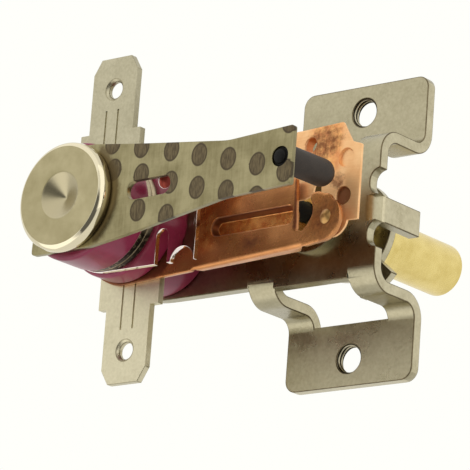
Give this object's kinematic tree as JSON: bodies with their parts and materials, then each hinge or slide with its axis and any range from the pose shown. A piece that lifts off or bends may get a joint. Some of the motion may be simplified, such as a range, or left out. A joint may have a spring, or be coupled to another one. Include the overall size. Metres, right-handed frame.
{
  "type": "heater thermostat",
  "caption": "Adjustable bimetal thermostat for a room heater: a riveted ceramic stack with push-on terminals, sprung contact leaves and a brass shaft on a bent steel bracket.",
  "frame": {"origin": "on the control shaft's axis, in the plane of the ears' rear faces, midway between the two ear holes", "axes": "+Y runs along the control shaft towards its tip, out of the ears' rear faces; +X runs from the stack's rivet to the shaft; +Z runs along the upper terminal towards its tip"},
  "size_m": [0.0401, 0.042, 0.0358],
  "materials": {
    "plated_steel": "satin",
    "nickel": "satin",
    "bright_steel": "gloss",
    "tinned_terminal": "satin",
    "brass": "satin",
    "copper": "satin",
    "bimetal": "satin",
    "silver": "satin",
    "plum_glaze": "gloss",
    "dark_ceramic": "matte",
    "white_ceramic": "matte"
  },
  "bodies": {
    "frame": {"bracket": "plated_steel", "threaded_bush": "brass", "stack_rivet": "nickel", "rivet_tail_washer": "plated_steel", "insulating_sleeve": "white_ceramic", "front_ceramic_ring": "plum_glaze", "middle_ceramic_ring": "plum_glaze", "rear_ceramic_ring": "plum_glaze", "upper_terminal": "tinned_terminal", "lower_terminal": "tinned_terminal", "backing_plate": "bright_steel"},
    "adjuster": {"adjusting_pin": "dark_ceramic"},
    "shaft": {"control_shaft": "brass", "stop_washer": "plated_steel"},
    "arm": {"contact_arm": "copper", "fixed_contact": "silver"},
    "bimetal": {"bimetal_strip": "bimetal", "drive_pin": "dark_ceramic"},
    "blade": {"moving_blade": "copper", "moving_contact": "silver"}
  },
  "joints": [
    {"name": "shaft_advance", "type": "slide", "parent": "frame", "child": "adjuster", "axis": [0, -1, 0], "range_m": [-0.00056, 0.00006]},
    {"name": "shaft_turn", "type": "hinge", "parent": "adjuster", "child": "shaft", "pos_m": [0, 0, 0], "axis": [0, -1, 0], "range_deg": [-269, 29]},
    {"name": "arm_flex", "type": "hinge", "parent": "frame", "child": "arm", "pos_m": [-0.011, -0.015, 0], "axis": [0, 0, -1], "range_deg": [-3, 0.35], "deforming": ["contact_arm"]},
    {"name": "bimetal_flex", "type": "hinge", "parent": "frame", "child": "bimetal", "pos_m": [-0.011, -0.0253, 0], "axis": [0, 0, 1], "range_deg": [0, 3.4], "stiffness_Nm_per_rad": 0.02, "deforming": ["bimetal_strip"]},
    {"name": "blade_flex", "type": "hinge", "parent": "arm", "child": "blade", "pos_m": [-0.009, -0.0183, 0], "axis": [0, 0, 1], "range_deg": [0, 3.75], "deforming": ["moving_blade"]}
  ],
  "couplings": [
    {"joint": "shaft_turn", "follows": "shaft_advance", "rad_per_m": 8377.6},
    {"joint": "arm_flex", "follows": "shaft_advance", "rad_per_m": 90.9},
    {"joint": "blade_flex", "follows": "bimetal_flex", "ratio": 1.1}
  ]
}
